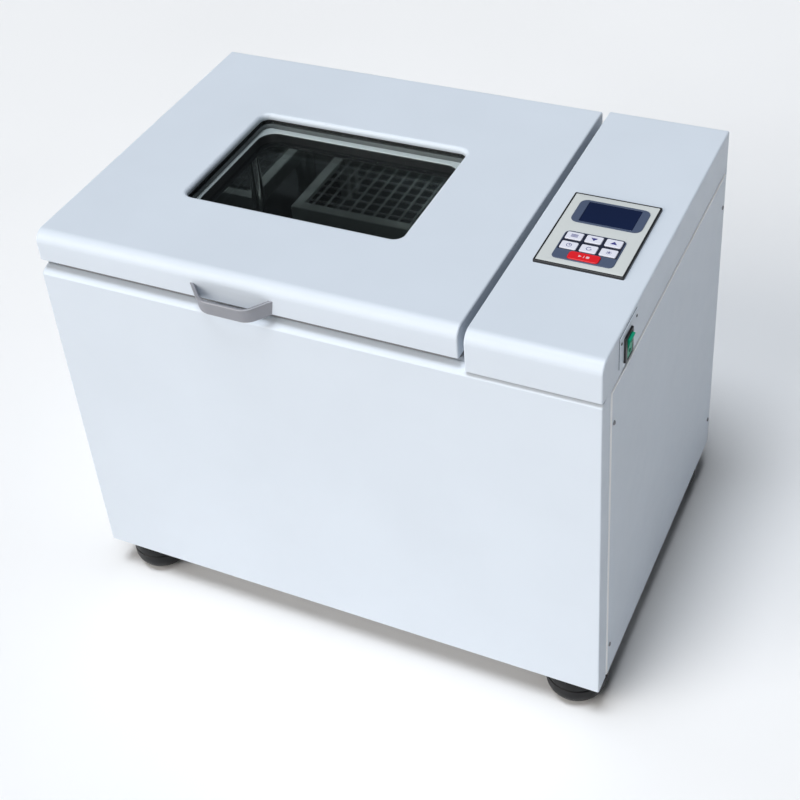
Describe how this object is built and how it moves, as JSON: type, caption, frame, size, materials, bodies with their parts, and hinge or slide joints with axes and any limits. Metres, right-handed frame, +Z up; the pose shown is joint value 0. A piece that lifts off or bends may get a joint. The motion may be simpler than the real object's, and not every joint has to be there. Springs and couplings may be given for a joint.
{
  "type": "air bath orbital shaker",
  "caption": "Benchtop incubator box with a hinged windowed lid over an orbiting sprung flask platform, a keypad control head and a side rocker switch, on rubber feet.",
  "frame": {"origin": "on the bench under the middle of the whole object's outline, handle and hinges included", "axes": "+X to the right of the front, along the cabinet's width; +Y from the front to the back; +Z up"},
  "size_m": [0.7101, 0.5059, 0.5618],
  "materials": {
    "white_paint": "satin powder coat",
    "zinc_steel": "zinc plated",
    "stainless": "polished stainless",
    "spring_steel": "bright wire",
    "bright_trim": "satin",
    "black_rubber": "matte",
    "seal_grey": "matte",
    "glass_wool": "fibrous",
    "black_plastic": "fine grain",
    "rocker_green": "gloss",
    "face_film": "satin film",
    "slate_film": "satin film",
    "display_navy": "gloss",
    "key_white": "satin",
    "key_red": "satin",
    "circuit_green": "solder mask",
    "window_glass": "clear",
    "handle_grey": "satin",
    "motor_paint": "satin",
    "pulley_metal": "machined",
    "belt_rubber": "matte",
    "platform_metal": "brushed",
    "heater_metal": "heat tinted",
    "screw_metal": "plated"
  },
  "bodies": {
    "cabinet": {"base_pan": "zinc_steel", "front_panel": "white_paint", "left_side_panel": "white_paint", "right_side_panel": "white_paint", "back_panel": "white_paint", "panel_screws": "screw_metal", "top_deck": "white_paint", "feet": "black_rubber", "lid_gasket": "seal_grey", "chamber_liner": "stainless", "insulation": "glass_wool", "control_cover": "white_paint", "switch_plate": "white_paint", "switch_housing": "black_plastic", "control_bezel": "black_plastic", "face_plate": "face_film", "display_frame": "slate_film", "display_lens": "display_navy", "keypad_surround": "slate_film", "control_board": "circuit_green", "power_board": "circuit_green", "power_inlet": "black_plastic", "cabinet_hinge_leaves": "zinc_steel", "hinge_pins": "stainless", "drive_motor": "motor_paint", "drive_belt": "belt_rubber", "crank_bearing": "zinc_steel", "support_bearings": "zinc_steel", "fan_motor": "motor_paint", "fan_cover": "stainless", "heater_coil": "heater_metal", "temperature_probe": "stainless"},
    "lid": {"lid_shell": "white_paint", "lid_liner": "stainless", "window_frame": "bright_trim", "window_seal": "black_rubber", "window_glass": "window_glass", "handle": "handle_grey", "lid_hinge_leaves": "zinc_steel"},
    "rocker": {"switch_rocker": "rocker_green"},
    "menu_key": {"menu_key": "key_white"},
    "down_key": {"down_key": "key_white"},
    "up_key": {"up_key": "key_white"},
    "timer_key": {"timer_key": "key_white"},
    "speed_key": {"speed_key": "key_white"},
    "light_key": {"light_key": "key_white"},
    "start_key": {"start_key": "key_red"},
    "crank": {"main_crank": "pulley_metal"},
    "platform": {"platform": "platform_metal", "rack_frames": "stainless", "rack_springs": "spring_steel"},
    "front_left_crank": {"front_left_crank": "pulley_metal"},
    "front_right_crank": {"front_right_crank": "pulley_metal"},
    "rear_left_crank": {"rear_left_crank": "pulley_metal"},
    "rear_right_crank": {"rear_right_crank": "pulley_metal"},
    "motor_pulley": {"motor_pulley": "pulley_metal"},
    "fan_wheel": {"fan_wheel": "stainless"}
  },
  "joints": [
    {"name": "lid_hinge", "type": "hinge", "parent": "cabinet", "child": "lid", "pos_m": [-0.08175, 0.24725, 0.519], "axis": [-1, 0, 0], "range_deg": [0, 95]},
    {"name": "power_rocker", "type": "hinge", "parent": "cabinet", "child": "rocker", "pos_m": [0.3475, -0.15725, 0.5275], "axis": [0, -1, 0], "range_deg": [0, 16]},
    {"name": "menu_key_press", "type": "slide", "parent": "cabinet", "child": "menu_key", "axis": [0, 0, -1], "range_m": [0, 0.001], "stiffness_N_per_m": 600, "springref_m": -0.001},
    {"name": "down_key_press", "type": "slide", "parent": "cabinet", "child": "down_key", "axis": [0, 0, -1], "range_m": [0, 0.001], "stiffness_N_per_m": 600, "springref_m": -0.001},
    {"name": "up_key_press", "type": "slide", "parent": "cabinet", "child": "up_key", "axis": [0, 0, -1], "range_m": [0, 0.001], "stiffness_N_per_m": 600, "springref_m": -0.001},
    {"name": "timer_key_press", "type": "slide", "parent": "cabinet", "child": "timer_key", "axis": [0, 0, -1], "range_m": [0, 0.001], "stiffness_N_per_m": 600, "springref_m": -0.001},
    {"name": "speed_key_press", "type": "slide", "parent": "cabinet", "child": "speed_key", "axis": [0, 0, -1], "range_m": [0, 0.001], "stiffness_N_per_m": 600, "springref_m": -0.001},
    {"name": "light_key_press", "type": "slide", "parent": "cabinet", "child": "light_key", "axis": [0, 0, -1], "range_m": [0, 0.001], "stiffness_N_per_m": 600, "springref_m": -0.001},
    {"name": "start_key_press", "type": "slide", "parent": "cabinet", "child": "start_key", "axis": [0, 0, -1], "range_m": [0, 0.001], "stiffness_N_per_m": 600, "springref_m": -0.001},
    {"name": "crank_spin", "type": "hinge", "parent": "cabinet", "child": "crank", "pos_m": [-0.08175, 0.00375, 0.137], "axis": [0, 0, 1], "continuous": true},
    {"name": "platform_orbit", "type": "hinge", "parent": "crank", "child": "platform", "pos_m": [-0.09175, 0.00375, 0.207], "axis": [0, 0, 1], "continuous": true},
    {"name": "motor_spin", "type": "hinge", "parent": "cabinet", "child": "motor_pulley", "pos_m": [0.11825, 0.00375, 0.137], "axis": [0, 0, 1], "continuous": true},
    {"name": "front_left_crank_spin", "type": "hinge", "parent": "cabinet", "child": "front_left_crank", "pos_m": [-0.23175, -0.11625, 0.137], "axis": [0, 0, 1], "continuous": true},
    {"name": "front_right_crank_spin", "type": "hinge", "parent": "cabinet", "child": "front_right_crank", "pos_m": [0.06825, -0.11625, 0.137], "axis": [0, 0, 1], "continuous": true},
    {"name": "rear_left_crank_spin", "type": "hinge", "parent": "cabinet", "child": "rear_left_crank", "pos_m": [-0.23175, 0.12375, 0.137], "axis": [0, 0, 1], "continuous": true},
    {"name": "rear_right_crank_spin", "type": "hinge", "parent": "cabinet", "child": "rear_right_crank", "pos_m": [0.06825, 0.12375, 0.137], "axis": [0, 0, 1], "continuous": true},
    {"name": "fan_spin", "type": "hinge", "parent": "cabinet", "child": "fan_wheel", "pos_m": [0.16525, 0.00375, 0.407], "axis": [1, 0, 0], "continuous": true}
  ],
  "couplings": [
    {"joint": "platform_orbit", "follows": "crank_spin", "ratio": -1},
    {"joint": "motor_spin", "follows": "crank_spin", "ratio": 4},
    {"joint": "front_left_crank_spin", "follows": "crank_spin", "ratio": 1},
    {"joint": "front_right_crank_spin", "follows": "crank_spin", "ratio": 1},
    {"joint": "rear_left_crank_spin", "follows": "crank_spin", "ratio": 1},
    {"joint": "rear_right_crank_spin", "follows": "crank_spin", "ratio": 1}
  ]
}
